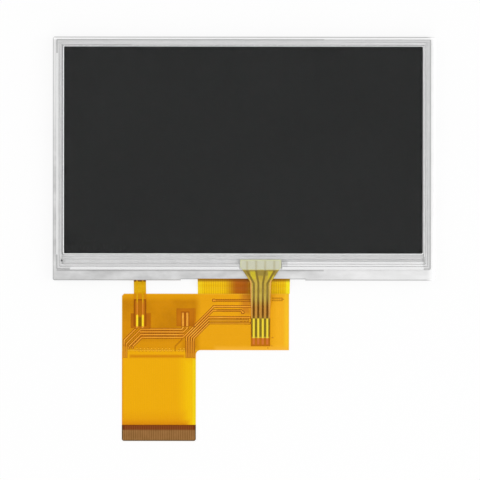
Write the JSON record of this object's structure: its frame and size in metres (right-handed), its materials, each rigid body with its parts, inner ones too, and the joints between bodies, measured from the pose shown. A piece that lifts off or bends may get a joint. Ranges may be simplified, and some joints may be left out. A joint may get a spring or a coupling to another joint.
{
  "type": "tft display module",
  "caption": "Flat-panel display module with a resistive touch panel, pressed metal bezel and amber flexible circuits.",
  "frame": {"origin": "middle of the rear plate's outer face, on the surface it lies on", "axes": "+Z out of the screen, +Y towards the edge of the module away from the flexible circuits, +X to the right as the screen is read"},
  "size_m": [0.1054, 0.1117, 0.004],
  "materials": {
    "bezel_steel": "pressed stainless sheet, mottled mill finish",
    "plate_steel": "pressed stainless sheet, fine rolling grain",
    "frame_plastic": "moulded white polycarbonate",
    "reflector_film": "white reflector film",
    "guide_acrylic": "clear moulded acrylic",
    "optical_film": "matt optical film",
    "diode_resin": "moulded white resin",
    "strip_polyimide": "amber polyimide film",
    "strip_copper": "gold-plated copper",
    "rim_tape": "black adhesive tape",
    "polarizer": "dark polarizing film",
    "cell_glass": "polished thin glass",
    "chip_silicon": "polished silicon",
    "bond_film": "bonding film",
    "flex_polyimide": "amber polyimide film",
    "flex_copper": "etched copper with gilt contacts",
    "flex_traces": "etched copper with gilt pads",
    "flex_cover": "amber cover film",
    "flex_stiffener": "brown polyimide sheet",
    "mount_tape": "white double-sided tape",
    "touch_glass": "polished thin glass",
    "touch_adhesive": "grey printed adhesive",
    "touch_film": "hard-coated clear film",
    "silver_ink": "printed silver ink",
    "tail_film": "clear olive film",
    "tail_ink": "gilt printed lines",
    "solder": "reflowed solder"
  },
  "bodies": {
    "root": {"rear_plate": "plate_steel", "light_frame": "frame_plastic", "reflector_sheet": "reflector_film", "light_guide_plate": "guide_acrylic", "diffuser_sheet": "optical_film", "lower_prism_sheet": "optical_film", "upper_prism_sheet": "optical_film", "rim_tape": "rim_tape", "led_packages": "diode_resin", "led_strip_flex": "strip_polyimide", "led_tail_conductors": "strip_copper", "rear_polarizer": "polarizer", "array_glass": "cell_glass", "colour_filter_glass": "cell_glass", "front_polarizer": "polarizer", "driver_chip": "chip_silicon", "flex_bond_film": "bond_film", "main_flex_film": "flex_polyimide", "main_flex_conductors": "flex_copper", "main_flex_front_traces": "flex_traces", "main_flex_cover": "flex_cover", "main_flex_stiffener": "flex_stiffener", "front_bezel": "bezel_steel", "touch_mount_tape": "mount_tape", "touch_glass": "touch_glass", "touch_spacer": "touch_adhesive", "touch_film": "touch_film", "touch_glass_bars": "silver_ink", "touch_film_bars": "silver_ink", "touch_tail_film": "tail_film", "touch_tail_conductors": "tail_ink", "tail_solder_joints": "solder"}
  },
  "joints": []
}
